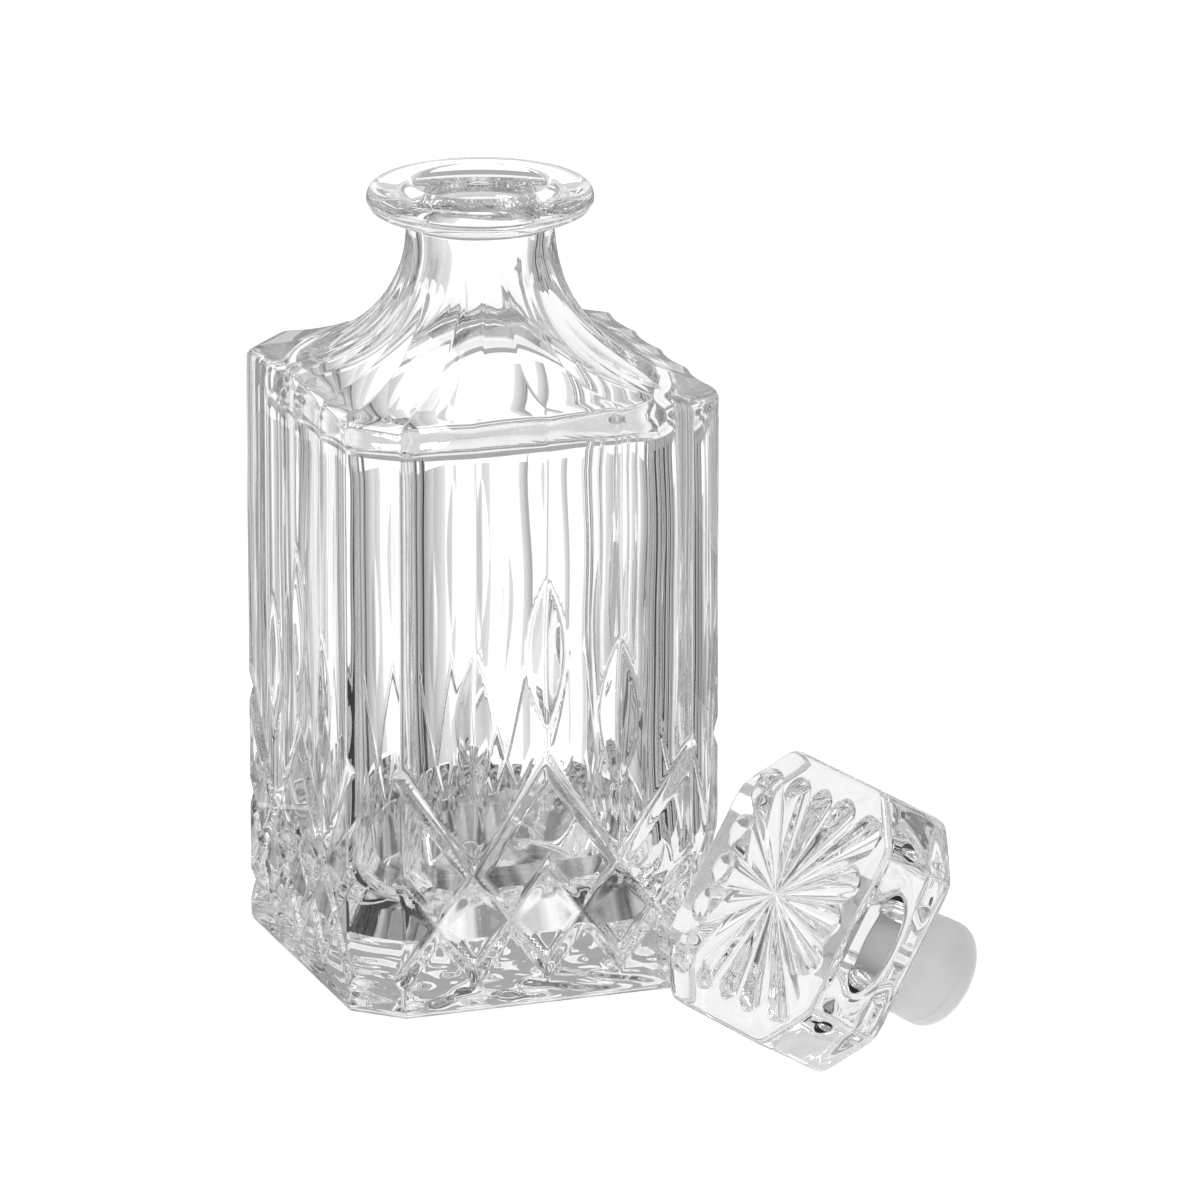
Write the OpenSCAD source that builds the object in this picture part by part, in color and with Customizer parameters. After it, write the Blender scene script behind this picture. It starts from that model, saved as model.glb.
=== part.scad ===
// Square glass decanter with its loose stopper lying beside it.
// Frame: +Z up, origin at the centre of the underside, faces square to X and Y.

/* [Bottle body] */
// Width of the body across two opposite faces
body_w = 90; // [80:1:100]
// Length that each corner cut takes off a face
corner_cut = 10; // [8:0.5:12]
// Height of the edge where the upright faces meet the shoulder
shoulder_z = 140; // [130:1:150]
// Glass between the middle of a face and the hollow
wall_t = 5; // [4:0.5:7]
// Glass under the hollow
base_t = 17; // [12:1:24]

/* [Neck and lip] */
// Outer diameter of the neck
neck_d = 34; // [32:0.5:38]
// Diameter of the straight bore that takes the stopper
bore_d = 26; // [24:0.2:28]
// Height at which the bore opens into the hollow
bore_floor_z = 152; // [150:0.5:154]
// Diameter of the lip
lip_d = 52; // [46:1:58]
// Thickness of the lip
lip_t = 7.5; // [5:0.5:10]
// Height of the top of the lip
lip_z = 183.5; // [180:0.5:190]
// Width of the slanted entry round the bore
entry_w = 2.2; // [1:0.2:3]

/* [Cut pattern] */
// Upright flutes on each face
flutes = 4; // [2:2:6]
// Depth of a flute at its middle
flute_depth = 0.9; // [0.4:0.1:1.4]
// Depth of the straight cuts
groove_depth = 1.7; // [1:0.1:2.4]
// Half of the width of the straight cuts
groove_half_w = 2; // [1.2:0.1:2.6]
// Height of the peaks of the zigzag cut
peak_z = 58; // [54:1:62]
// Height of its valleys, where the diamonds begin
valley_z = 32.5; // [30:0.5:35]
// Height at which the diamonds end
diamond_foot_z = 10; // [8:0.5:12]
// Length of an almond cut
almond_len = 37; // [30:1:40]
// Depth of an almond cut at its middle
almond_depth = 2.2; // [1.2:0.2:2.6]
// Half of the width of an almond cut
almond_half_w = 6.4; // [4:0.2:7]
// Height of the middle of the upper almonds
high_almond_z = 84; // [82:1:90]
// Height of the middle of the lower almonds
low_almond_z = 68; // [64:1:72]

/* [Stopper] */
// Width of the head across two opposite sides
head_w = 63; // [56:1:70]
// Thickness of the head
head_t = 20.5; // [16:0.5:26]
// Length that each corner cut takes off a side of the head
head_cut = 12; // [8:0.5:14]
// Petals of the rosette in the top face
petals = 16; // [12:4:24]
// Length of a petal
petal_len = 26; // [18:1:27]
// Depth of a petal at its outer end
petal_depth = 3.8; // [0.8:0.2:4.4]
// Diameter of the glass plug
plug_d = 23.6; // [21:0.2:24]
// Length of the plug below the head
plug_len = 31; // [26:1:33]

/* [Seal sleeve] */
// Outer diameter of the sleeve on the plug
sleeve_d = 25; // [24.6:0.2:25.2]
// Diameter of the rolled bead at the end of the sleeve
bead_d = 25.4; // [25.2:0.2:25.8]
// Height of the bead
bead_h = 4; // [2:0.5:6]
// Bare glass between the head and the sleeve
sleeve_gap = 3; // [1:0.5:8]

/* [Where the stopper lies] */
// Sideways place of the middle of the head's underside
lie_x = 54; // [50:1:70]
// Place of the middle of the head's underside in front of the bottle
lie_y = -90; // [-110:1:-85]
// Compass direction in which the rosette faces
lie_turn = 191; // [180:1:200]

/* [Hidden] */
$fn = 96;
eps = 0.01;
// How far a cut runs past a face, or one solid into the next
overlap = 1;
glass = [0.86, 0.90, 0.90, 0.55];
milky = [0.95, 0.95, 0.93];
half_w = body_w / 2;
flat_w = body_w - 2 * corner_cut;
flute_w = flat_w / flutes;
flute_r = (flute_w * flute_w / 4 + flute_depth * flute_depth) / (2 * flute_depth);
flute_foot_z = (peak_z + valley_z) / 2;
neck_foot_z = shoulder_z + 32;
hollow_half_w = half_w - wall_t;
hollow_top_z = shoulder_z - 10;
hollow_round = 12;
// How square the hollow is: 2 is round, higher is squarer
squareness = 3.4;
lip_round = lip_t / 2;
almond_r = (almond_len * almond_len / 4 + almond_depth * almond_depth) / (2 * almond_depth);
corner_reach = 34;
rosette_sink = 0.15;
// Rim of one petal: share of half its angle, share of its reach, share of its depth
petal_end = [[-1, 0.86, 0.1], [-0.55, 0.97, 0.6], [0, 1, 1], [0.55, 0.97, 0.6]];
lie_tilt = atan((head_w / 2 - bead_d / 2) / plug_len);
lie_z = head_w / 2 * cos(lie_tilt);

// Segments along a wide side and along a corner cut of a lofted ring
wide_steps = 4;
cut_steps = 2;
ring_steps = 4 * (wide_steps + cut_steps);
// Share of the circle that a corner cut takes where the shoulder meets the neck
cut_arc = 30;

// p turned about the origin by a degrees
function turned(p, a) = [p.x * cos(a) - p.y * sin(a), p.x * sin(a) + p.y * cos(a)];

// Point f of the way from a to b
function mix(a, b, f) = a + (b - a) * f;

// Square with cut corners, as a ring of evenly numbered points
function clipped_ring(half, cut) = [
    for (side = [0:3])
    for (i = [0:wide_steps + cut_steps - 1])
    turned(
        i < wide_steps
            ? [mix(-half + cut, half - cut, i / wide_steps), -half]
            : mix([half - cut, -half], [half, -half + cut], (i - wide_steps) / cut_steps),
        90 * side)
];

// Circle whose points pair with those of a clipped ring
function round_ring(r) = [
    for (side = [0:3])
    for (i = [0:wide_steps + cut_steps - 1])
    let (
        wide_arc = 90 - cut_arc,
        a = i < wide_steps
            ? -90 - wide_arc / 2 + wide_arc * i / wide_steps
            : -90 + wide_arc / 2 + cut_arc * (i - wide_steps) / cut_steps)
    [r * cos(a + 90 * side), r * sin(a + 90 * side)]
];

// Square blown so round that it has no edges, with points that pair with those of the others
function blown_ring(half) = [
    for (p = round_ring(1))
    p * half / pow(pow(abs(p.x), squareness) + pow(abs(p.y), squareness), 1 / squareness)
];

// Ring between a and b, at height z
function level(a, b, f, z) = [for (i = [0:ring_steps - 1]) concat(mix(a[i], b[i], f), z)];

// Cubic curve through p[0] and p[3], pulled towards p[1] and p[2]
function bezier(p, t) = pow(1 - t, 3) * p[0] + 3 * t * pow(1 - t, 2) * p[1]
    + 3 * t * t * (1 - t) * p[2] + pow(t, 3) * p[3];

// Closed skin over a stack of rings, the lowest ring first
module loft(rings) {
    count = len(rings);
    top = (count - 1) * ring_steps;
    low_middle = count * ring_steps;
    polyhedron(
        points = concat(
            [for (r = rings) each r],
            [[0, 0, rings[0][0].z], [0, 0, rings[count - 1][0].z]]),
        faces = concat(
            [for (i = [0:ring_steps - 1]) [low_middle, i, (i + 1) % ring_steps]],
            [for (k = [0:count - 2]) for (i = [0:ring_steps - 1])
                let (j = (i + 1) % ring_steps, a = k * ring_steps)
                each [[a + i, a + ring_steps + i, a + j],
                      [a + j, a + ring_steps + i, a + ring_steps + j]]],
            [for (i = [0:ring_steps - 1])
                [low_middle + 1, top + (i + 1) % ring_steps, top + i]]));
}

// Share of the way in from the body's edge to the neck, against height gained
shoulder_curve = [[0, 0], [0.4, 2], [0.95, 8], [1, neck_foot_z - shoulder_z]];
shoulder_levels = 8;

module shoulder() {
    body_ring = clipped_ring(half_w, corner_cut);
    neck_ring = round_ring(neck_d / 2);
    loft([
        for (k = [0:shoulder_levels])
        let (p = bezier(shoulder_curve, k / shoulder_levels))
        level(body_ring, neck_ring, p.x, shoulder_z + p.y - (k == 0 ? eps : 0))
    ]);
}

module plain_block(half, cut, h) {
    linear_extrude(h)
        polygon([for (side = [0:3]) each [
            turned([-half + cut, -half], 90 * side),
            turned([half - cut, -half], 90 * side)]]);
}

// Neck and rounded lip, turned about the bottle's axis
module neck_and_lip() {
    translate([0, 0, neck_foot_z - eps])
        cylinder(d = neck_d, h = lip_z - lip_t - neck_foot_z + overlap);
    rotate_extrude()
        union() {
            translate([0, lip_z - lip_t])
                square([lip_d / 2 - lip_round, lip_t]);
            translate([lip_d / 2 - lip_round, lip_z - lip_round])
                circle(r = lip_round);
        }
}

// Share of the way in from the hollow's side to the bore, against height gained
ceiling_curve = [[0, 0], [0, 7], [0.5, 12], [1, bore_floor_z - hollow_top_z]];

// The hollow up to the foot of the bore
module hollow() {
    wide_ring = blown_ring(hollow_half_w);
    floor_ring = blown_ring(hollow_half_w - hollow_round);
    bore_ring = round_ring(bore_d / 2 - 0.5);
    loft(concat(
        [for (a = [0:22.5:90])
            level(floor_ring, wide_ring, sin(a), base_t + hollow_round * (1 - cos(a)))],
        [for (k = [0:shoulder_levels])
            let (p = bezier(ceiling_curve, k / shoulder_levels))
            level(wide_ring, bore_ring, p.x, hollow_top_z + p.y + eps)]));
}

module bore_and_entry() {
    translate([0, 0, bore_floor_z - overlap])
        cylinder(d = bore_d, h = lip_z - bore_floor_z + 2 * overlap);
    translate([0, 0, lip_z - entry_w])
        cylinder(d1 = bore_d, d2 = bore_d + 2 * entry_w, h = entry_w + eps);
}

// Straight V cut on the front face, between two [x, z] points
module groove(p, q) {
    slope = atan2(q.y - p.y, q.x - p.x);
    outer_half_w = groove_half_w * (1 + overlap / groove_depth);
    translate([(p.x + q.x) / 2, -half_w, (p.y + q.y) / 2])
        rotate([0, -slope, 0])
        rotate([90, 0, 90])
        linear_extrude(norm(q - p), center = true)
        polygon([[groove_depth, 0], [-overlap, outer_half_w], [-overlap, -outer_half_w]]);
}

// Almond cut on the front face, made by the edge of a wheel
module almond(x, z) {
    rim = almond_depth + overlap;
    rim_half_w = almond_half_w * rim / almond_depth;
    translate([x, -half_w - almond_r + almond_depth, z])
        rotate([0, 90, 0])
        rotate_extrude($fn = 180)
        polygon([[almond_r - rim, -rim_half_w], [almond_r, 0], [almond_r - rim, rim_half_w]]);
}

module flute(x) {
    translate([x, -half_w - flute_r + flute_depth, flute_foot_z])
        cylinder(r = flute_r, h = shoulder_z, $fn = 360);
}

// Every cut on the front face
module face_cuts() {
    for (i = [0:flutes - 1]) flute((i + 0.5) * flute_w - flat_w / 2);
    for (i = [0:flutes - 1]) {
        x0 = i * flute_w - flat_w / 2;
        x1 = x0 + flute_w;
        z0 = i % 2 == 0 ? peak_z : valley_z;
        z1 = peak_z + valley_z - z0;
        groove([x0, z0], [x1, z1]);
        groove([x0, diamond_foot_z], [x1, valley_z]);
        groove([x0, valley_z], [x1, diamond_foot_z]);
    }
    for (i = [1:flutes - 1])
        almond(i * flute_w - flat_w / 2, i % 2 == 0 ? high_almond_z : low_almond_z);
}

module bottle() {
    color(glass)
    difference() {
        union() {
            difference() {
                plain_block(half_w, corner_cut, shoulder_z);
                for (side = [0:3]) rotate(90 * side) face_cuts();
            }
            shoulder();
            neck_and_lip();
        }
        hollow();
        bore_and_entry();
    }
}

// Puts a piece from the stopper's own upright frame where the stopper lies
module lying() {
    translate([lie_x, lie_y, lie_z])
        rotate([0, 90 - lie_tilt, lie_turn])
        children();
}

// How far the rosette reaches towards compass direction a, longer into the corners
function reach(a) = min(petal_len / max(abs(cos(a)), abs(sin(a))), corner_reach);

// Recess of the rosette, one shallow trough for each petal, deepest at its rounded end
module rosette() {
    step = 360 / petals;
    rim = [
        for (i = [0:petals - 1]) for (p = petal_end)
        let (a = step * (i + p.x / 2), r = reach(step * i) * p.y)
        [r * cos(a), r * sin(a), head_t - p.z * petal_depth]
    ];
    count = len(rim);
    polyhedron(
        points = concat(
            rim,
            [for (p = rim) [p.x, p.y, head_t + overlap]],
            [[0, 0, head_t - rosette_sink], [0, 0, head_t + overlap]]),
        faces = [for (i = [0:count - 1]) let (j = (i + 1) % count)
            each [[2 * count, i, j], [i, count + i, j],
                  [j, count + i, count + j], [2 * count + 1, count + j, count + i]]]);
}

module stopper() {
    color(glass)
    lying()
    difference() {
        union() {
            plain_block(head_w / 2, head_cut, head_t);
            translate([0, 0, -plug_len]) cylinder(d = plug_d, h = plug_len + overlap);
        }
        rosette();
    }
}

module seal_sleeve() {
    color(milky)
    lying()
    difference() {
        union() {
            translate([0, 0, -plug_len])
                cylinder(d = bead_d, h = bead_h);
            translate([0, 0, -plug_len])
                cylinder(d = sleeve_d, h = plug_len - sleeve_gap);
        }
        translate([0, 0, -plug_len - overlap])
            cylinder(d = plug_d, h = plug_len + 2 * overlap);
    }
}

bottle();
stopper();
seal_sleeve();
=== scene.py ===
"""Looks of the square glass decanter and its loose stopper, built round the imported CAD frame.

Lengths are in millimetres in the object's own shapes, and in metres on the stage.
"""

import math

import bpy
import numpy as np
from mathutils import Matrix, Vector

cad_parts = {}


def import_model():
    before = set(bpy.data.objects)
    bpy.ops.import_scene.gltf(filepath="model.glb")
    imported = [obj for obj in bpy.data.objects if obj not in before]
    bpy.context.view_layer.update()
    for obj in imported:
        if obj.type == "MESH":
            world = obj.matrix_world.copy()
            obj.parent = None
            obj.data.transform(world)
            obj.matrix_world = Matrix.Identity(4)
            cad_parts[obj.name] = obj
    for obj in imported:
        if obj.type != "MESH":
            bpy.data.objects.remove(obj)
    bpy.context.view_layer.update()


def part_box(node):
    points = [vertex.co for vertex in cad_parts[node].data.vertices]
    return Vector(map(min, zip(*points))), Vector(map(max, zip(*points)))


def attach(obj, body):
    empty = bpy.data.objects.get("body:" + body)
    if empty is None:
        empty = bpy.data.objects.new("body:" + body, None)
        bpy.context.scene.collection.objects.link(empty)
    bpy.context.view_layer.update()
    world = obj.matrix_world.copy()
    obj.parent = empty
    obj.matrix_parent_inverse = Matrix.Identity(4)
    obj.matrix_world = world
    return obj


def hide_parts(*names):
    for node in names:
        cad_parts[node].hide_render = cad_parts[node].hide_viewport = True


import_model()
MM = 0.001

# ---------------------------------------------------------------- sizes, in millimetres
# Outside of the bottle
BOTTLE_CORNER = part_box("bottle")[1] / MM
HALF_W = BOTTLE_CORNER.x
LIP_Z = BOTTLE_CORNER.z
CORNER_CUT = 10.0
FLAT_HALF = HALF_W - CORNER_CUT
BASE_ROUND = 2.5
SHOULDER_Z = 140.0
EDGE_ROUND = 3.0
NECK_FOOT_Z = 172.0
NECK_R = 17.0
LIP_R = 26.0
LIP_RIM_R = 3.4
BORE_R = 13.0
BORE_FOOT_Z = 164.0
# Share of the way in from the body's edge to the neck, against height gained
SHOULDER_CURVE = [(0, 0), (0.4, 2), (0.95, 8), (1, NECK_FOOT_Z - SHOULDER_Z)]

# Cut pattern of each face
FLUTES = 4
FLUTE_W = 2 * FLAT_HALF / FLUTES
FLUTE_DEPTH = 0.9
PEAK_Z = 58.0
VALLEY_Z = 32.5
DIAMOND_FOOT_Z = 10.0
GROOVE_DEPTH = 1.7
GROOVE_HALF_W = 2.0
ALMOND_LEN = 37.0
ALMOND_HALF_W = 6.4
ALMOND_DEPTH = 2.2
ALMONDS_TOP_Z = 104.0
# Height of each almond's middle, by the line between two flutes that it lies on
ALMOND_Z = {-1: 68.0, 0: 84.0, 1: 68.0}

# Hollow of the bottle
WALL_T = 5.0
BASE_T = 17.0
HOLLOW_HALF = HALF_W - WALL_T
HOLLOW_SQUARENESS = 3.4
HOLLOW_TOP_Z = SHOULDER_Z - 10
HOLLOW_ROUND = 12.0
# Share of the way in from the hollow's side to the bore, against height gained
CEILING_CURVE = [(0, 0), (0, 7), (0.9, 12), (1, BORE_FOOT_Z - HOLLOW_TOP_Z)]
# Waves of the hollow's wall: height, length over 2 pi, lobes round the wall, and shift
WALL_WAVES = ((0.2, 11, 2, 0), (0.12, 6.3, -3, 1), (0.1, 17, 7, 0))
WAVE_FADE = 10.0
RIPPLE = 0.3
RIPPLE_LENGTHS = (2.6, 3.1)

# Stopper, and where it lies on the table
HEAD_HALF = 31.5
HEAD_T = 20.5
HEAD_CUT = 12.0
HEAD_BEVEL = 1.8
HEAD_SHARPNESS = 50
PETALS = 16
PETAL_LEN = 26.0
CORNER_REACH = 34.0
PETAL_DEPTH = 3.8
# Shares of a petal's length: its steep end wall, and how far its end bows
PETAL_WALL = 0.06
PETAL_BOW = 0.13
PLUG_R = 11.8
PLUG_LEN = 31.0
PLUG_FILLET = 1.5
PLUG_ROUND = 1.0
BEAD_R = 12.7
BEAD_H = 4.0
SLEEVE_R = 12.5
SLEEVE_GAP = 3.0
SLEEVE_PLAY = 0.05
LIE_PLACE = (54.0, -90.0)
LIE_TURN = math.radians(191)
# It rests on an edge of its head and on the end of its bead
LIE_TILT = math.atan((HEAD_HALF - BEAD_R) / PLUG_LEN)

# Columns of the skins: steps across one flute and one petal, and places along a corner cut
FLUTE_STEPS = 22
CUT_PLACES = np.linspace(0.05, 0.95, 11)
PETAL_STEPS = 18
SLEEVE_COLUMNS = 128
# Part of the round neck that rises from one corner cut
NECK_CUT_ARC = math.radians(30)

# ---------------------------------------------------------------- stage sizes, in metres
FLOOR_HALF = 6.0
FLOOR_Z = -0.0002

# Patches on the light table under the glass. The disc of painted shade and caustic light under the
# bottle is round, the others have these corners.
SHADE_DISC_R = 0.14
SHADE_DISC_Z = -0.00015
PATCH_Z = -0.0001
# Painted pool of light under the front of the bottle
LIGHT_POOL_PATCH = ((-0.036, -0.06), (0.014, -0.06), (0.014, -0.03), (-0.036, -0.03))
CLEAR_PATCH = ((0.028, -0.12), (0.14, -0.12), (0.14, 0.06), (0.058, 0.06))
# Painted contact shade on the table at the bottle's left
SHADE_PATCH = ((-0.1, -0.055), (-0.04, -0.045), (-0.04, -0.016), (-0.06, 0.03), (-0.1, 0.04))

# Cards round the table: first and last direction of each, in degrees from straight behind the
# bottle (+Y) over its left (-X). The gaps between them are the bright background of the glass.
GREY_CARDS = ((15, 37), (53, 82), (98, 217), (233, 306))
DARK_CARDS = ((19, 25), (62, 70), (107, 115), (130, 136), (152, 160), (176, 182), (196, 204),
              (242, 246), (259, 263), (278, 282), (297, 300))
# Narrow dark stripes in front of the grey cards
STRIPES = [(a, a + 2) for first, last in GREY_CARDS for a in range(first + 3, last - 3, 9)]
# Both sides of the bright background that the camera sees, which fades into the grey cards
FADES = ((324, 306), (350, 375))
FADE_GREYS = np.linspace(0.86, 0.42, 9)
# Single cards that stand clear of the table, behind and at the left
BACK_CARD = (306, 375)
LEFT_CARD = (80, 122)
CARD_POINTS = 9
CARD_R = 0.42
APRON_R = SHADE_DISC_R
APRON_Z = 0.001
GREY_TOP = 0.16
DARK_TOP = 0.08
FADE_TOP = 0.02
BACK_FOOT = 0.06
LEFT_FOOT = 0.17
LEFT_TOP = 0.36

# Camera, aimed a little to the right of the bottle's axis
VIEW_AZIMUTH = math.radians(-20.07)
VIEW_ELEVATION = math.radians(16.76)
VIEW_DISTANCE = 2.4126
AIM_RIGHT = 0.02726
AIM_Z = 0.08402
LENS_MM = 314.5
SENSOR_MM = 36.0


# ---------------------------------------------------------------- mesh helpers
def add_mesh(name, points, triangles, material, body, nodes):
    """A closed, smooth-shaded piece from millimetre points, standing for the named CAD nodes."""
    mesh = bpy.data.meshes.new(name)
    mesh.vertices.add(len(points))
    mesh.vertices.foreach_set("co", (np.asarray(points) * MM).astype(np.float32).ravel())
    mesh.loops.add(3 * len(triangles))
    mesh.loops.foreach_set("vertex_index", np.asarray(triangles, np.int32).ravel())
    mesh.polygons.add(len(triangles))
    mesh.polygons.foreach_set("loop_start", np.arange(0, 3 * len(triangles), 3, dtype=np.int32))
    mesh.update(calc_edges=True)
    mesh.validate()
    mesh.shade_smooth()
    mesh.materials.append(material)
    piece = bpy.data.objects.new(name, mesh)
    bpy.context.scene.collection.objects.link(piece)
    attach(piece, body)
    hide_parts(*nodes)


def skin(rows, first, last, slants=None):
    """Points and triangles of a closed skin: a stack of rings between two end points.

    slants[i][j] is True where the cell over column j of ring i is split along its other diagonal.
    """
    rings, columns = rows.shape[:2]
    points = np.vstack([rows.reshape(-1, 3), [first], [last]])
    j = np.arange(columns)
    k = (j + 1) % columns
    a = np.arange(rings - 1)[:, None] * columns + j
    b = np.arange(rings - 1)[:, None] * columns + k
    c, d = b + columns, a + columns
    if slants is None:
        slants = np.zeros(a.shape, bool)
    one = np.where(slants[..., None], np.stack([a, b, d], -1), np.stack([a, b, c], -1))
    two = np.where(slants[..., None], np.stack([b, c, d], -1), np.stack([a, c, d], -1))
    low, high = rings * columns, rings * columns + 1
    top = (rings - 1) * columns
    fans = [np.stack([np.full(columns, low), k, j], -1),
            np.stack([np.full(columns, high), top + j, top + k], -1)]
    return points, np.vstack([one.reshape(-1, 3), two.reshape(-1, 3)] + fans)


def loop_skin(rows):
    """Points and triangles of a skin whose last ring joins its first."""
    rings, columns = rows.shape[:2]
    j = np.arange(columns)
    a = np.arange(rings)[:, None] * columns + j
    b = np.arange(rings)[:, None] * columns + (j + 1) % columns
    c, d = np.roll(b, -1, axis=0), np.roll(a, -1, axis=0)
    triangles = np.vstack([np.stack([a, c, b], -1).reshape(-1, 3),
                           np.stack([a, d, c], -1).reshape(-1, 3)])
    return rows.reshape(-1, 3), triangles


def bezier(p, t):
    """Points of the cubic curve with control points p at the shares t."""
    t = np.asarray(t, float)[:, None]
    p = np.asarray(p, float)
    return ((1 - t) ** 3 * p[0] + 3 * t * (1 - t) ** 2 * p[1]
            + 3 * t * t * (1 - t) * p[2] + t ** 3 * p[3])


def arc(centre, radius, start, end, steps):
    """Points of an arc in a profile plane, angles in degrees."""
    angles = np.radians(np.linspace(start, end, steps + 1))
    return np.stack([centre[0] + radius * np.cos(angles), centre[1] + radius * np.sin(angles)], -1)


# ---------------------------------------------------------------- plan of the bottle
def bottle_columns():
    """For each column of the skin: its side, its place x along the face, its place along the cut."""
    face_x = np.linspace(-FLAT_HALF, FLAT_HALF, FLUTES * FLUTE_STEPS + 1)
    x = np.concatenate([face_x, np.full(len(CUT_PLACES), FLAT_HALF)])
    cut = np.concatenate([np.full(len(face_x), -1.0), CUT_PLACES])
    side = np.repeat(np.arange(4), len(x))
    return side, np.tile(x, 4), np.tile(cut, 4)


SIDE, FACE_X, CUT_SHARE = bottle_columns()
ON_CUT = CUT_SHARE >= 0
SIDE_COLUMNS = len(FACE_X) // 4


def turn_sides(x, y):
    """Points given in the front side's own frame, each turned to its column's side."""
    angle = SIDE * math.pi / 2
    return np.stack([x * np.cos(angle) - y * np.sin(angle),
                     x * np.sin(angle) + y * np.cos(angle)], -1)


def clipped_plan(depth=0.0):
    """Plan points of the body, a square with cut corners, its faces cut in by depth.

    Where a face is cut in at its edge, the corner cut is shortened to meet it.
    """
    depth = np.broadcast_to(depth, FACE_X.shape)
    edge_depth = depth.reshape(4, SIDE_COLUMNS)[:, SIDE_COLUMNS - len(CUT_PLACES) - 1]
    edge = np.repeat(edge_depth, SIDE_COLUMNS) / CORNER_CUT
    share = edge + (1 - 2 * edge) * CUT_SHARE
    at_end = np.isclose(np.abs(FACE_X), FLAT_HALF) & ~ON_CUT
    face_x = FACE_X + np.where(at_end, np.sign(FACE_X) * depth, 0)
    x = np.where(ON_CUT, FLAT_HALF + CORNER_CUT * share, face_x)
    y = np.where(ON_CUT, -HALF_W + CORNER_CUT * share, -HALF_W + depth)
    return turn_sides(x, y)


def round_plan(radius):
    """Plan points of a circle whose columns pair with those of the body."""
    wide_arc = math.pi / 2 - NECK_CUT_ARC
    on_face = -math.pi / 2 + FACE_X / FLAT_HALF * wide_arc / 2
    on_cut = -math.pi / 2 + wide_arc / 2 + NECK_CUT_ARC * CUT_SHARE
    angle = np.where(ON_CUT, on_cut, on_face)
    return turn_sides(radius * np.cos(angle), radius * np.sin(angle))


def hollow_plan(half):
    """Plan points of the hollow, a square blown so round that it has no edges."""
    unit = round_plan(1.0)
    size = (np.abs(unit) ** HOLLOW_SQUARENESS).sum(axis=1) ** (-1 / HOLLOW_SQUARENESS)
    return unit * (half * size)[:, None]


def ring(plan, z):
    """A ring of 3-D points from plan points and a height."""
    return np.column_stack([plan, np.broadcast_to(z, len(plan))])


# ---------------------------------------------------------------- cut pattern
def zigzag(x, low, high):
    """Height of a zigzag line with its peaks on the middle line and the corner edges."""
    return low + (high - low) * np.abs(np.abs(x) - FLUTE_W) / FLUTE_W


def groove(x, z, low, high):
    """Depth of the V cut along a zigzag line."""
    slope = math.atan2(high - low, FLUTE_W)
    distance = np.abs(z - zigzag(x, low, high)) * abs(math.cos(slope))
    return GROOVE_DEPTH * (1 - distance / GROOVE_HALF_W)


def cut_depth(x, z):
    """Depth of the cut pattern below the flat face at places x, z."""
    across = (x / FLUTE_W) % 1 * 2 - 1
    flute = FLUTE_DEPTH * (1 - across ** 2)
    depth = np.where(z > zigzag(x, VALLEY_Z, PEAK_Z), flute, 0.0)
    for low, high in ((VALLEY_Z, PEAK_Z), (DIAMOND_FOOT_Z, VALLEY_Z), (VALLEY_Z, DIAMOND_FOOT_Z)):
        depth = np.maximum(depth, groove(x, z, low, high))
    for line, middle in ALMOND_Z.items():
        along = (z - middle) / (ALMOND_LEN / 2)
        away = np.abs(x - line * FLUTE_W) / ALMOND_HALF_W
        depth = np.maximum(depth, ALMOND_DEPTH * (1 - along ** 2 - away))
    return depth


def body_heights():
    """Heights of the rings of the upright faces, with rings on every line of the cut pattern."""
    rim = np.linspace(BASE_ROUND, DIAMOND_FOOT_Z, 9)[1:-1]
    diamonds = np.linspace(DIAMOND_FOOT_Z, VALLEY_Z, FLUTE_STEPS + 1)[:-1]
    zigzags = np.linspace(VALLEY_Z, PEAK_Z, FLUTE_STEPS + 1)[:-1]
    almonds = np.linspace(PEAK_Z, ALMONDS_TOP_Z, 42)
    flutes = np.linspace(ALMONDS_TOP_Z, SHOULDER_Z - EDGE_ROUND, 6)[1:]
    return np.concatenate([rim, diamonds, zigzags, almonds, flutes])


def body_plan(z):
    """Plan points of the upright faces with their cut pattern at height z."""
    return clipped_plan(cut_depth(FACE_X, np.full(len(FACE_X), z)))


def cell_slants(heights):
    """Which diagonal of each cell follows the cut pattern more closely."""
    z0, z1 = heights[:-1, None], heights[1:, None]
    x0 = FACE_X[None, :]
    x1 = np.roll(FACE_X, -1)[None, :]
    middle = cut_depth((x0 + x1) / 2, (z0 + z1) / 2)
    rising = (cut_depth(x0, z0) + cut_depth(x1, z1)) / 2
    falling = (cut_depth(x1, z0) + cut_depth(x0, z1)) / 2
    slant = np.abs(falling - middle) < np.abs(rising - middle) - 1e-9
    slant[:, ON_CUT | np.roll(ON_CUT, -1)] = False
    return slant


# ---------------------------------------------------------------- bottle
def ripple(plan):
    """Small uneven heights of a pressed surface."""
    along_x, along_y = RIPPLE_LENGTHS
    return RIPPLE * np.sin(plan[:, 0] / along_x + 1) * np.sin(plan[:, 1] / along_y)


def base_rows():
    """Rings from near the middle of the underside, round the foot of the body."""
    base = clipped_plan()
    rows = []
    for share in np.linspace(0.1, 0.9, 11):
        plan = base * share
        # The ripple grows weaker near the rim
        rows.append(ring(plan, RIPPLE + ripple(plan) * min(1, 10 * (0.95 - share))))
    for angle in np.radians(np.linspace(0, 90, 7)):
        inset = BASE_ROUND * (1 - math.sin(angle))
        rows.append(ring(base * (1 - inset / HALF_W), BASE_ROUND * (1 - math.cos(angle))))
    return rows


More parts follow.
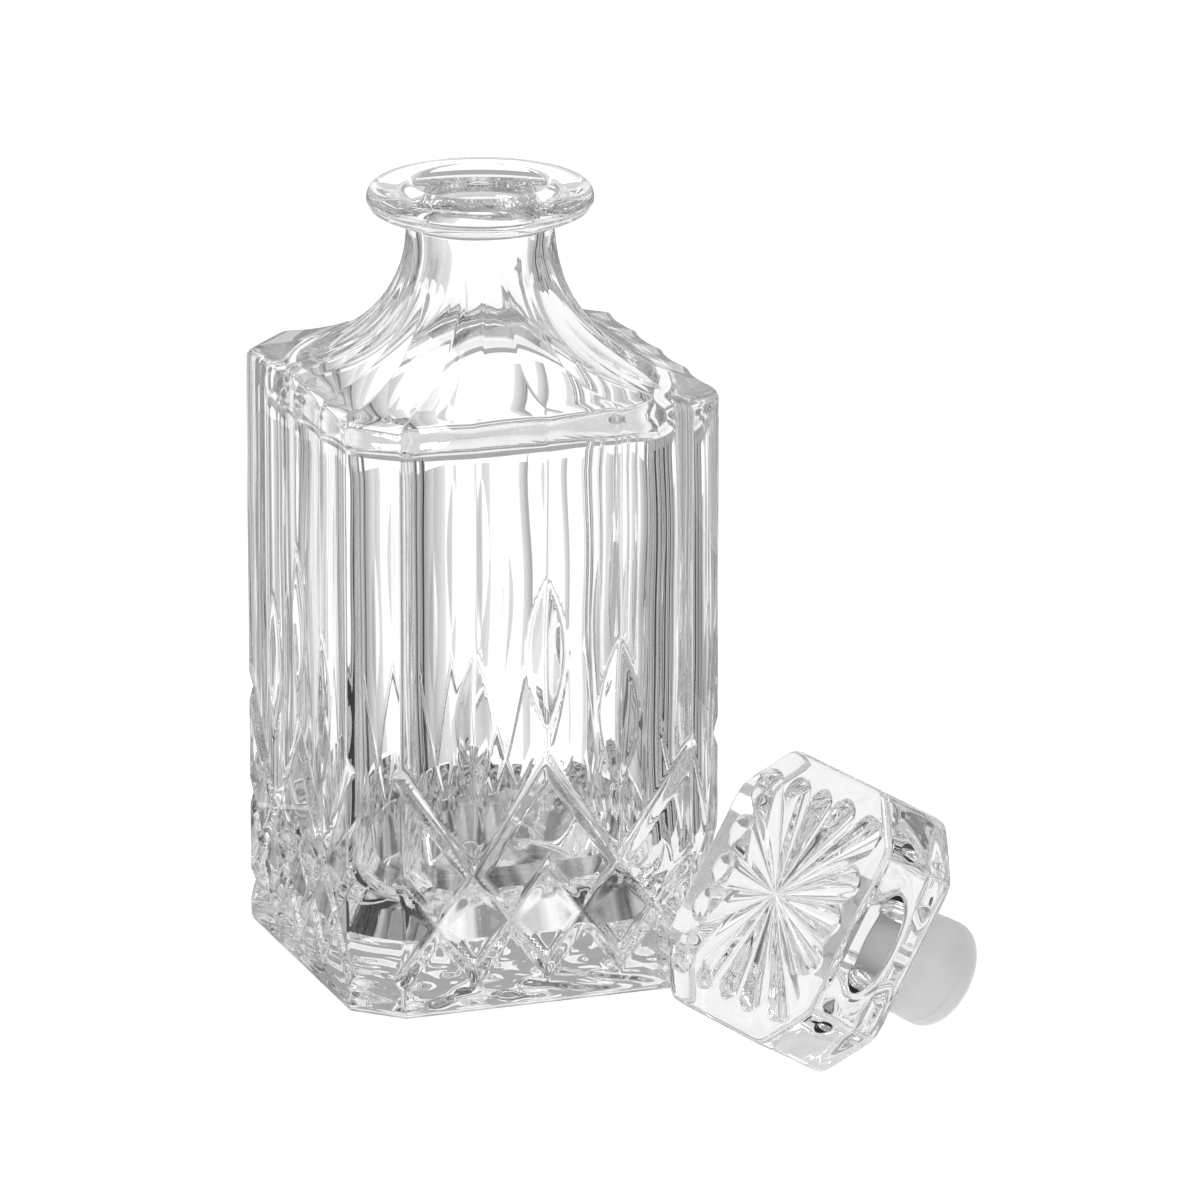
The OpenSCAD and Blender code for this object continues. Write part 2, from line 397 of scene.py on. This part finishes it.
def shoulder_rows():
    """Rings from the upright faces, round the edge and over the shoulder to the neck."""
    body = body_plan(SHOULDER_Z)
    neck = round_plan(NECK_R)
    curve = bezier(SHOULDER_CURVE, np.linspace(0.1, 1, 22))
    # A quadratic curve whose middle point is the unrounded edge, at share 0 and height 0
    t = np.linspace(0, 1, 7)[1:-1, None]
    edge = (1 - t) ** 2 * np.array([0, -EDGE_ROUND]) + t ** 2 * curve[0]
    return [ring(body + (neck - body) * share, SHOULDER_Z + rise)
            for share, rise in np.vstack([edge, curve])]


def lip_profile():
    """Profile from the neck's foot, round the lip and down the bore: radius and height."""
    rim_z = LIP_Z - 0.2 - LIP_RIM_R
    under = rim_z - LIP_RIM_R
    shares = np.linspace(0, 1, 5)
    return np.vstack([
        [(NECK_R, NECK_FOOT_Z + rise) for rise in (0.8, 1.7, 2.6)],
        bezier([(NECK_R + 0.3, NECK_FOOT_Z + 2.9), (NECK_R + 0.6, NECK_FOOT_Z + 3.4),
                (NECK_R + 0.9, under), (NECK_R + 2.5, under)], shares),
        arc((LIP_R - LIP_RIM_R, rim_z), LIP_RIM_R, -90, 90, 16),
        [(LIP_R - 6, LIP_Z - 0.06), (LIP_R - 8.5, LIP_Z)],
        bezier([(BORE_R + 3.4, LIP_Z), (BORE_R + 2.5, LIP_Z), (BORE_R + 2.3, LIP_Z - 0.4),
                (BORE_R + 2, LIP_Z - 0.9)], shares),
        bezier([(BORE_R + 0.6, LIP_Z - 2.6), (BORE_R + 0.3, LIP_Z - 3.2), (BORE_R, LIP_Z - 3.7),
                (BORE_R, LIP_Z - 4.5)], shares),
        [(BORE_R, BORE_FOOT_Z + rise) for rise in (10, 5, 2)]])


def wavy(plan, z):
    """The hollow's plan with the faint waves of a wall that was blown and not cut."""
    turn = np.arctan2(plan[:, 1], plan[:, 0])
    wave = sum(height * np.sin(z / length + lobes * turn + shift)
               for height, length, lobes, shift in WALL_WAVES)
    fade = np.clip((np.hypot(plan[:, 0], plan[:, 1]) - BORE_R) / WAVE_FADE, 0, 1)
    return plan * (1 + wave * fade / HOLLOW_HALF)[:, None]


def hollow_rows():
    """Rings of the hollow, from under the bore to the middle of the floor."""
    wide = hollow_plan(HOLLOW_HALF)
    bore = round_plan(BORE_R)
    floor_edge = hollow_plan(HOLLOW_HALF - HOLLOW_ROUND)
    rows = []
    for share, rise in bezier(CEILING_CURVE, np.linspace(0.97, 0, 17)):
        z = HOLLOW_TOP_Z + rise
        rows.append(ring(wavy(wide + (bore - wide) * share, z), z))
    for z in np.linspace(HOLLOW_TOP_Z, BASE_T + HOLLOW_ROUND, 22)[1:-1]:
        rows.append(ring(wavy(wide, z), z))
    for angle in np.radians(np.linspace(90, 0, 11)):
        z = BASE_T + HOLLOW_ROUND * (1 - math.sin(angle))
        rows.append(ring(wavy(floor_edge + (wide - floor_edge) * math.sin(angle), z), z))
    for share in np.linspace(0.9, 0.1, 9):
        plan = floor_edge * share
        # The ripple grows weaker near the middle
        rows.append(ring(plan, BASE_T + ripple(plan) * min(1, 3 * share)))
    return rows


def bottle(material):
    """The bottle, as one skin from the middle of the underside to the middle of the hollow's floor."""
    base = base_rows()
    heights = body_heights()
    body = [ring(body_plan(z), z) for z in heights]
    lip = [ring(round_plan(radius), z) for radius, z in lip_profile()]
    rows = np.array(base + body + shoulder_rows() + lip + hollow_rows())
    slants = np.zeros((len(rows) - 1, len(FACE_X)), bool)
    slants[len(base):len(base) + len(heights) - 1] = cell_slants(heights)
    points, triangles = skin(rows, (0, 0, 0), (0, 0, BASE_T), slants)
    add_mesh("bottle_glass", points, triangles, material, "bottle", ["bottle"])


# ---------------------------------------------------------------- stopper and sleeve
def lay_down(points):
    """Points from the stopper's own upright frame to where the stopper lies."""
    height = HEAD_HALF * math.cos(LIE_TILT)
    place = (Matrix.Translation((*LIE_PLACE, height)) @ Matrix.Rotation(LIE_TURN, 4, "Z")
             @ Matrix.Rotation(math.pi / 2 - LIE_TILT, 4, "Y"))
    matrix = np.array(place)
    return np.asarray(points) @ matrix[:3, :3].T + matrix[:3, 3]


def round_ring(angle, radius, z):
    """A ring of 3-D points from directions, distances from the axis and a height."""
    return np.column_stack([radius * np.cos(angle), radius * np.sin(angle),
                            np.broadcast_to(z, len(angle))])


def petal_columns():
    """For each column of the head: its direction, its place across its petal, the petal's end."""
    index = np.arange(PETALS * PETAL_STEPS)
    step = 2 * math.pi / PETALS
    across = (index % PETAL_STEPS) / PETAL_STEPS * 2 - 1
    petal = index // PETAL_STEPS
    along = step * petal
    square = PETAL_LEN / np.maximum(np.abs(np.cos(along)), np.abs(np.sin(along)))
    reach = np.minimum(square, CORNER_REACH)
    # A ridge between two petals ends where the shorter of them does
    shorter = np.minimum(reach, np.roll(reach, PETAL_STEPS))
    reach = np.where(across == -1, shorter, reach)
    return step * (petal + across / 2), across, reach * (1 - PETAL_BOW * across ** 2)


def head_outline(angle, half):
    """Distance from the axis to the edge of a square with cut corners and softened edges."""
    c, s = np.abs(np.cos(angle)), np.abs(np.sin(angle))
    side, corner = half / np.maximum(c, s), (2 * half - HEAD_CUT) / (c + s)
    return (side ** -HEAD_SHARPNESS + corner ** -HEAD_SHARPNESS) ** (-1 / HEAD_SHARPNESS)


def rosette_rows(angle, across, petal_end):
    """Rings of the petals, from the middle of the rosette to their outer ends."""
    rows = []
    for share in np.concatenate([np.linspace(0.03, 0.9, 26), [0.92, 0.94], np.linspace(0.95, 1, 6)]):
        wall = min((1 - share) / PETAL_WALL, 1)
        depth = PETAL_DEPTH * share * (1 - across ** 2) * math.sqrt(1 - (1 - wall) ** 2)
        rows.append(round_ring(angle, share * petal_end, HEAD_T - depth))
    return rows


def head_rows(angle, petal_end):
    """Rings from the rosette's edge, over both bevels of the head, to the root of the plug."""
    flat = head_outline(angle, HEAD_HALF - HEAD_BEVEL)
    side = head_outline(angle, HEAD_HALF)
    root = PLUG_R + PLUG_FILLET
    bevel = [(flat + (side - flat) * math.sin(turn), HEAD_BEVEL * (1 - math.cos(turn)))
             for turn in np.radians(np.linspace(0, 90, 6))]
    rings = [(petal_end + (flat - petal_end) * share, HEAD_T) for share in (0.1, 0.5, 1)]
    rings += [(radius, HEAD_T - drop) for radius, drop in bevel[1:]]
    rings += [(side, z) for z in np.linspace(HEAD_T - HEAD_BEVEL, HEAD_BEVEL, 8)[1:]]
    rings += bevel[-2::-1]
    rings += [(root + (flat - root) * share, 0) for share in (0.6, 0.25, 0)]
    return [round_ring(angle, radius, z) for radius, z in rings]


def plug_profile():
    """Profile of the plug from under the head to its end: radius and height."""
    return np.vstack([
        arc((PLUG_R + PLUG_FILLET, -PLUG_FILLET), PLUG_FILLET, 90, 180, 5)[1:],
        [(PLUG_R, z) for z in np.linspace(-4, -PLUG_LEN + 1.2, 7)],
        arc((PLUG_R - PLUG_ROUND, -PLUG_LEN + PLUG_ROUND), PLUG_ROUND, 0, -90, 5)[1:],
        [(PLUG_R * 0.6, -PLUG_LEN), (PLUG_R * 0.2, -PLUG_LEN)]])


def stopper(material):
    """The stopper, as one skin from the middle of the rosette to the end of the plug."""
    angle, across, petal_end = petal_columns()
    plug = [round_ring(angle, radius, z) for radius, z in plug_profile()]
    rows = rosette_rows(angle, across, petal_end) + head_rows(angle, petal_end) + plug
    points, triangles = skin(np.array(rows), (0, 0, HEAD_T), (0, 0, -PLUG_LEN))
    # The rings go down and not up, so each triangle is turned over
    add_mesh("stopper_glass", lay_down(points), triangles[:, ::-1], material, "stopper",
             ["stopper"])


def sleeve_profile():
    """Closed profile of the sleeve: radius and height."""
    inner = PLUG_R + SLEEVE_PLAY
    foot = -PLUG_LEN
    shoulder = foot + BEAD_H
    return np.vstack([
        [(inner, -SLEEVE_GAP - 0.2)],
        bezier([(inner + 0.2, -SLEEVE_GAP), (SLEEVE_R - 0.2, -SLEEVE_GAP),
                (SLEEVE_R, -SLEEVE_GAP - 0.1), (SLEEVE_R, -SLEEVE_GAP - 0.6)], np.linspace(0, 1, 6)),
        [(SLEEVE_R, shoulder + 4), (SLEEVE_R, shoulder + 0.6)],
        bezier([(SLEEVE_R, shoulder + 0.2), (BEAD_R, shoulder), (BEAD_R, shoulder - 0.5),
                (BEAD_R, foot + BEAD_H / 2)], np.linspace(0, 1, 7)),
        bezier([(BEAD_R, foot + 1.2), (BEAD_R, foot + 0.2), (BEAD_R - 0.3, foot),
                (inner + 0.3, foot)], np.linspace(0, 1, 7)),
        [(inner, foot + 0.3), (inner, shoulder), (inner, -SLEEVE_GAP - 10)]])


def seal_sleeve(material):
    """Soft sleeve with a rolled bead at its end, a closed ring round the plug."""
    angle = np.arange(SLEEVE_COLUMNS) * 2 * math.pi / SLEEVE_COLUMNS
    rows = np.array([round_ring(angle, radius, z) for radius, z in sleeve_profile()])
    points, triangles = loop_skin(rows)
    add_mesh("seal_sleeve_plastic", lay_down(points), triangles, material, "stopper",
             ["seal_sleeve"])


# ---------------------------------------------------------------- materials
# Where a ramp from one grey to another starts and ends
RAMP_START = 0.38
RAMP_END = 0.62


def new_material(name):
    """A new material, and its shader."""
    material = bpy.data.materials.new(name)
    material.use_nodes = True
    return material, material.node_tree.nodes["Principled BSDF"]


def glass(name):
    """Clear pressed glass with a faint fire-polished waviness."""
    material, shader = new_material(name)
    shader.inputs["Base Color"].default_value = (0.985, 0.99, 0.985, 1)
    shader.inputs["Roughness"].default_value = 0.0
    shader.inputs["IOR"].default_value = 1.52
    shader.inputs["Transmission Weight"].default_value = 1.0
    nodes, links = material.node_tree.nodes, material.node_tree.links
    place = nodes.new("ShaderNodeTexCoord")
    waves = nodes.new("ShaderNodeTexNoise")
    waves.inputs["Scale"].default_value = 35.0
    waves.inputs["Detail"].default_value = 0.0
    bump = nodes.new("ShaderNodeBump")
    bump.inputs["Strength"].default_value = 0.03
    bump.inputs["Distance"].default_value = 0.001
    links.new(place.outputs["Object"], waves.inputs["Vector"])
    links.new(waves.outputs["Fac"], bump.inputs["Height"])
    links.new(bump.outputs["Normal"], shader.inputs["Normal"])
    return material


def milky_plastic():
    """Clear to milky soft plastic of the sleeve."""
    material, shader = new_material("milky_plastic")
    shader.inputs["Base Color"].default_value = (0.97, 0.97, 0.965, 1)
    shader.inputs["Roughness"].default_value = 0.3
    shader.inputs["IOR"].default_value = 1.42
    shader.inputs["Transmission Weight"].default_value = 0.6
    return material


def plain(name, glow, grey=0.0):
    """Matt surface of the stage: how strongly it glows, and the grey of the surface itself."""
    material, shader = new_material(name)
    shader.inputs["Base Color"].default_value = (grey, grey, grey, 1)
    shader.inputs["Roughness"].default_value = 1.0
    shader.inputs["Specular IOR Level"].default_value = 0.0
    shader.inputs["Emission Color"].default_value = (1, 1, 1, 1)
    shader.inputs["Emission Strength"].default_value = glow
    return material


def grey_ramp(nodes, low, high):
    """Ramp from one grey to another over the middle of its range."""
    ramp = nodes.new("ShaderNodeValToRGB")
    start, end = ramp.color_ramp.elements
    start.position = RAMP_START
    start.color = (low, low, low, 1)
    end.position = RAMP_END
    end.color = (high, high, high, 1)
    return ramp


def mottled(name, dark, light):
    """Light that the cut glass throws on the table beneath it, from a dark to a light grey."""
    material, shader = new_material(name)
    shader.inputs["Base Color"].default_value = (0, 0, 0, 1)
    shader.inputs["Specular IOR Level"].default_value = 0.0
    shader.inputs["Emission Strength"].default_value = 1.0
    nodes, links = material.node_tree.nodes, material.node_tree.links
    place = nodes.new("ShaderNodeTexCoord")
    spots = nodes.new("ShaderNodeTexNoise")
    spots.inputs["Scale"].default_value = 110.0
    spots.inputs["Detail"].default_value = 2.0
    ramp = grey_ramp(nodes, dark, light)
    links.new(place.outputs["Object"], spots.inputs["Vector"])
    links.new(spots.outputs["Fac"], ramp.inputs["Fac"])
    links.new(ramp.outputs["Color"], shader.inputs["Emission Color"])
    return material


# ---------------------------------------------------------------- stage, light and camera
def floor():
    """The light table that everything stands on."""
    mesh = bpy.data.meshes.new("studio_floor")
    corners = [(x * FLOOR_HALF, y * FLOOR_HALF, 0) for x, y in ((-1, -1), (1, -1), (1, 1), (-1, 1))]
    mesh.from_pydata(corners, [], [(0, 1, 2, 3)])
    mesh.materials.append(plain("light_table", 0.9, 0.3))
    stage = bpy.data.objects.new("studio_floor", mesh)
    stage.location.z = FLOOR_Z
    bpy.context.scene.collection.objects.link(stage)


def only_for_glass(name, points, faces, material):
    """A stage card that is hidden from the camera and from matt surfaces."""
    mesh = bpy.data.meshes.new(name)
    mesh.from_pydata(points, [], faces)
    mesh.materials.append(material)
    card = bpy.data.objects.new(name, mesh)
    bpy.context.scene.collection.objects.link(card)
    card.visible_camera = False
    card.visible_diffuse = False
    card.visible_shadow = False


def patch(name, corners, height, material):
    """Flat card on the table under the glass."""
    points = [(x, y, height) for x, y in corners]
    only_for_glass(name, points, [tuple(range(len(points)))], material)


def under_glass():
    """Painted mottled shade and light under the glass, a brighter painted pool of light under the
    front, with painted contact shade at the left.
    """
    angles = np.radians(np.arange(0, 360, 6))
    # Glowing disc of painted shade and caustic light that the bottle throws on the table, seen only by
    # the glass
    patch("painted_shade_and_caustics", [(SHADE_DISC_R * math.cos(a), SHADE_DISC_R * math.sin(a)) for a in angles], SHADE_DISC_Z,
          mottled("mottled_light", 0.06, 0.55))
    # Painted pool of light under the front, mottled from grey to white, seen only by the glass
    patch("painted_light_pool", LIGHT_POOL_PATCH, PATCH_Z, mottled("painted_light_pool", 0.3, 1.0))
    patch("clear_patch", CLEAR_PATCH, PATCH_Z, plain("clear_patch", 0.95))
    # Painted contact shade at the bottle's left, a dark sheet seen only by the glass
    patch("painted_shade_patch", SHADE_PATCH, PATCH_Z, plain("painted_shade_patch", 0.04))


def curved_card(name, first, last, section, material):
    """A card bent round the table between two directions; its section is radius and height."""
    angles = np.radians(np.linspace(first, last, CARD_POINTS))
    points = [(-r * math.sin(a), r * math.cos(a), z) for r, z in section for a in angles]
    starts = [row * CARD_POINTS + i for row in range(len(section) - 1)
              for i in range(CARD_POINTS - 1)]
    faces = [(i, i + 1, i + CARD_POINTS + 1, i + CARD_POINTS) for i in starts]
    only_for_glass(name, points, faces, material)


def cards(name, directions, material, lead, top):
    """Upright cards, each with an apron on the table; lead brings them in front of others."""
    low, far = APRON_Z + lead / 10, CARD_R - lead
    for number, (first, last) in enumerate(directions):
        curved_card(f"{name}_{number}", first, last, ((APRON_R, low), (far, low), (far, top)),
                    material)


def fading_cards():
    """Low cards that grow darker away from the bright background."""
    count = len(FADE_GREYS)
    for number, grey in enumerate(FADE_GREYS):
        directions = [tuple(start + (end - start) * (number + k) / count for k in (0, 1))
                      for start, end in FADES]
        cards(f"fade_{number}", directions, plain(f"fade_{number}", grey), lead=0, top=FADE_TOP)


def raised_card(name, first, last, low, high, material):
    """Upright card that stands clear of the table."""
    curved_card(name, first, last, ((CARD_R, low), (CARD_R, high)), material)


def all_cards():
    """Every card round the table."""
    cards("grey_card", GREY_CARDS, plain("grey_card", 0.47), lead=0, top=GREY_TOP)
    fading_cards()
    cards("dark_card", DARK_CARDS, plain("dark_card", 0.03), lead=0.005, top=DARK_TOP)
    cards("stripe", STRIPES, plain("stripe", 0.1), lead=0.003, top=GREY_TOP)
    raised_card("back_card", *BACK_CARD, BACK_FOOT, GREY_TOP, plain("back_card", 0.4))
    raised_card("left_card", *LEFT_CARD, LEFT_FOOT, LEFT_TOP, plain("left_card", 0.03))


def world():
    """Bright all round near the horizon, darker overhead."""
    surround = bpy.data.worlds.new("studio")
    surround.use_nodes = True
    nodes, links = surround.node_tree.nodes, surround.node_tree.links
    place = nodes.new("ShaderNodeTexCoord")
    split = nodes.new("ShaderNodeSeparateXYZ")
    ramp = grey_ramp(nodes, 1.0, 0.7)
    links.new(place.outputs["Generated"], split.inputs["Vector"])
    links.new(split.outputs["Z"], ramp.inputs["Fac"])
    links.new(ramp.outputs["Color"], nodes["Background"].inputs["Color"])
    nodes["Background"].inputs["Strength"].default_value = 1.0
    bpy.context.scene.world = surround


def area_light(name, size, power, place, target):
    """Square soft light at a place, facing a target."""
    data = bpy.data.lights.new(name, "AREA")
    data.shape = "SQUARE"
    data.size = size
    data.energy = power
    light = bpy.data.objects.new(name, data)
    light.location = place
    aim = Vector(target) - Vector(place)
    light.rotation_euler = aim.to_track_quat("-Z", "Y").to_euler()
    bpy.context.scene.collection.objects.link(light)


def camera():
    """A long lens, level across, from the front left and above."""
    back = Vector((math.sin(VIEW_AZIMUTH) * math.cos(VIEW_ELEVATION),
                   -math.cos(VIEW_AZIMUTH) * math.cos(VIEW_ELEVATION), math.sin(VIEW_ELEVATION)))
    right = Vector((math.cos(VIEW_AZIMUTH), math.sin(VIEW_AZIMUTH), 0))
    data = bpy.data.cameras.new("camera")
    data.lens = LENS_MM
    data.sensor_width = SENSOR_MM
    data.clip_end = 50
    eye = bpy.data.objects.new("camera", data)
    eye.location = Vector((0, 0, AIM_Z)) + right * AIM_RIGHT + back * VIEW_DISTANCE
    eye.rotation_euler = (-back).to_track_quat("-Z", "Y").to_euler()
    bpy.context.scene.collection.objects.link(eye)
    bpy.context.scene.camera = eye


camera()
world()
floor()
under_glass()
all_cards()
area_light("overhead", size=0.6, power=6, place=(-0.5, 0.3, 1.5), target=(0, 0, 0.05))
bottle(glass("bottle_glass"))
stopper(glass("stopper_glass"))
seal_sleeve(milky_plastic())

scene = bpy.context.scene
scene.view_settings.view_transform = "Standard"
scene.cycles.max_bounces = 32
scene.cycles.transmission_bounces = 32
scene.cycles.glossy_bounces = 16
